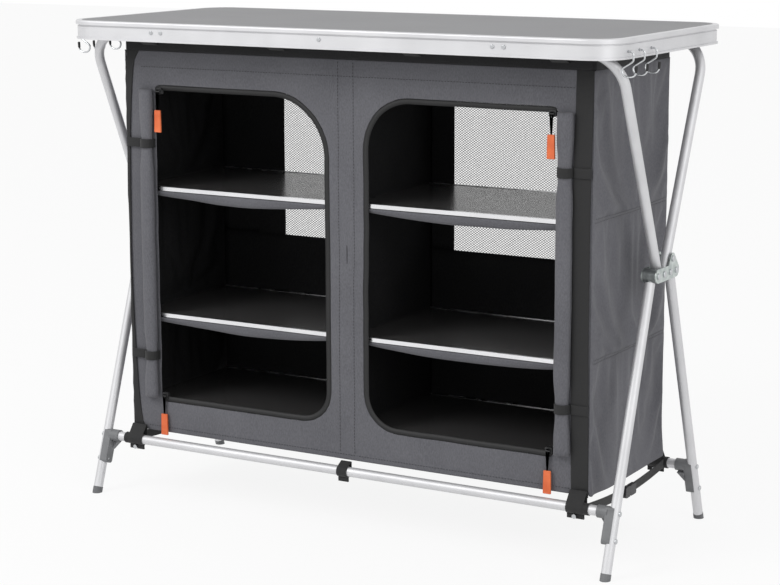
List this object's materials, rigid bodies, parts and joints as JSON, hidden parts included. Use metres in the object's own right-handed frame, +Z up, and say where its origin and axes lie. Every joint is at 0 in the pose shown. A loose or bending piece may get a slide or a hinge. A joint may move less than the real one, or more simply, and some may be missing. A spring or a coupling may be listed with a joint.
{
  "type": "camping cupboard",
  "caption": "Folding camping cupboard: lift-off worktop on crossed tube legs, a hanging cloth cabinet with two open doors, shelves, mesh windows and hooks.",
  "frame": {"origin": "on the ground, at the middle of the foot print", "axes": "+Z up, +X to the cupboard's own right as seen from its open front, -Y out of the open front"},
  "size_m": [1.0258, 0.448, 0.82],
  "materials": {
    "board_grey": "fine grain laminate",
    "band_aluminium": "satin anodised",
    "tube_aluminium": "satin anodised",
    "zinc_steel": "zinc plated",
    "rivet_steel": "pressed",
    "grey_plastic": "moulded, fine texture",
    "dark_steel": "black oxide",
    "cloth_grey": "woven polyester",
    "cloth_black": "woven tape",
    "mesh_grey": "fine net",
    "webbing_black": "ribbed webbing",
    "shelf_black": "laminate",
    "trim_aluminium": "bright",
    "pull_orange": "soft moulding",
    "slider_black": "black enamel",
    "hook_steel": "bright wire"
  },
  "bodies": {
    "frame": {"upper_front_frame": "tube_aluminium", "upper_rear_frame": "tube_aluminium", "hub_plates": "zinc_steel", "hub_pins": "rivet_steel", "front_panel": "cloth_grey", "back_panel": "cloth_grey", "side_panel_right": "cloth_grey", "side_panel_left": "cloth_grey", "divider": "cloth_grey", "mesh_windows": "mesh_grey", "top_band": "cloth_black", "zip_tapes": "cloth_black", "door_roll_left": "cloth_grey", "door_roll_right": "cloth_grey", "roll_straps": "webbing_black", "corner_straps": "webbing_black", "hanger_loops": "webbing_black", "floor_boards": "shelf_black", "middle_shelves": "shelf_black", "top_shelves": "shelf_black", "shelf_edge_trims": "trim_aluminium", "shelf_slings": "cloth_grey"},
    "worktop": {"worktop_board": "board_grey", "worktop_edge_band": "band_aluminium", "worktop_rivets": "rivet_steel", "bar_clips": "grey_plastic"},
    "front_legs": {"lower_front_leg_right": "tube_aluminium", "lower_front_leg_left": "tube_aluminium", "front_knuckles": "dark_steel", "front_feet": "grey_plastic", "front_rail_brackets": "grey_plastic", "front_rivets": "rivet_steel", "front_rail": "tube_aluminium", "front_rail_loops": "webbing_black", "front_side_straps": "webbing_black", "strap_tongues": "grey_plastic"},
    "rear_legs": {"lower_rear_leg_right": "tube_aluminium", "lower_rear_leg_left": "tube_aluminium", "rear_knuckles": "dark_steel", "rear_feet": "grey_plastic", "rear_rail_brackets": "grey_plastic", "rear_rivets": "rivet_steel", "rear_rail": "tube_aluminium", "rear_rail_loops": "webbing_black", "rear_side_straps": "webbing_black", "strap_buckles": "grey_plastic"},
    "slider_top_left": {"zip_slider_top_left": "slider_black"},
    "pull_top_left": {"zip_pull_top_left": "pull_orange"},
    "slider_top_right": {"zip_slider_top_right": "slider_black"},
    "pull_top_right": {"zip_pull_top_right": "pull_orange"},
    "slider_bottom_left": {"zip_slider_bottom_left": "slider_black"},
    "pull_bottom_left": {"zip_pull_bottom_left": "pull_orange"},
    "slider_bottom_right": {"zip_slider_bottom_right": "slider_black"},
    "pull_bottom_right": {"zip_pull_bottom_right": "pull_orange"},
    "hook_left_1": {"hook_left_1": "hook_steel"},
    "hook_left_2": {"hook_left_2": "hook_steel"},
    "hook_left_3": {"hook_left_3": "hook_steel"},
    "hook_right_1": {"hook_right_1": "hook_steel"},
    "hook_right_2": {"hook_right_2": "hook_steel"},
    "hook_right_3": {"hook_right_3": "hook_steel"}
  },
  "joints": [
    {"name": "worktop_lift_off", "type": "slide", "parent": "frame", "child": "worktop", "axis": [0, 0, 1], "range_m": [0, 0.1]},
    {"name": "front_legs_fold", "type": "hinge", "parent": "frame", "child": "front_legs", "pos_m": [0, -0.035, 0.446], "axis": [-1, 0, 0], "range_deg": [0, 125]},
    {"name": "rear_legs_fold", "type": "hinge", "parent": "frame", "child": "rear_legs", "pos_m": [0, 0.035, 0.446], "axis": [1, 0, 0], "range_deg": [0, 125]},
    {"name": "hook_left_1_swing", "type": "hinge", "parent": "worktop", "child": "hook_left_1", "pos_m": [-0.49575, -0.168, 0.8], "axis": [0, 1, 0], "range_deg": [0, 20]},
    {"name": "hook_left_2_swing", "type": "hinge", "parent": "worktop", "child": "hook_left_2", "pos_m": [-0.49575, -0.12768, 0.8], "axis": [0, 1, 0], "range_deg": [0, 20]},
    {"name": "hook_left_3_swing", "type": "hinge", "parent": "worktop", "child": "hook_left_3", "pos_m": [-0.49575, -0.08288, 0.8], "axis": [0, 1, 0], "range_deg": [0, 20]},
    {"name": "hook_right_1_swing", "type": "hinge", "parent": "worktop", "child": "hook_right_1", "pos_m": [0.49575, -0.168, 0.8], "axis": [0, -1, 0], "range_deg": [0, 20]},
    {"name": "hook_right_2_swing", "type": "hinge", "parent": "worktop", "child": "hook_right_2", "pos_m": [0.49575, -0.12768, 0.8], "axis": [0, -1, 0], "range_deg": [0, 20]},
    {"name": "hook_right_3_swing", "type": "hinge", "parent": "worktop", "child": "hook_right_3", "pos_m": [0.49575, -0.08288, 0.8], "axis": [0, -1, 0], "range_deg": [0, 20]},
    {"name": "slider_top_left_run", "type": "slide", "parent": "frame", "child": "slider_top_left", "axis": [1, 0, 0], "range_m": [0, 0.2]},
    {"name": "pull_top_left_swing", "type": "hinge", "parent": "slider_top_left", "child": "pull_top_left", "pos_m": [-0.365, -0.1477, 0.701], "axis": [-1, 0, 0], "range_deg": [0, 80]},
    {"name": "slider_top_right_run", "type": "slide", "parent": "frame", "child": "slider_top_right", "axis": [-1, 0, 0], "range_m": [0, 0.2]},
    {"name": "pull_top_right_swing", "type": "hinge", "parent": "slider_top_right", "child": "pull_top_right", "pos_m": [0.365, -0.1477, 0.701], "axis": [-1, 0, 0], "range_deg": [0, 80]},
    {"name": "slider_bottom_left_run", "type": "slide", "parent": "frame", "child": "slider_bottom_left", "axis": [1, 0, 0], "range_m": [0, 0.2]},
    {"name": "pull_bottom_left_swing", "type": "hinge", "parent": "slider_bottom_left", "child": "pull_bottom_left", "pos_m": [-0.365, -0.1477, 0.178], "axis": [-1, 0, 0], "range_deg": [0, 80]},
    {"name": "slider_bottom_right_run", "type": "slide", "parent": "frame", "child": "slider_bottom_right", "axis": [-1, 0, 0], "range_m": [0, 0.2]},
    {"name": "pull_bottom_right_swing", "type": "hinge", "parent": "slider_bottom_right", "child": "pull_bottom_right", "pos_m": [0.365, -0.1477, 0.178], "axis": [-1, 0, 0], "range_deg": [0, 80]}
  ]
}
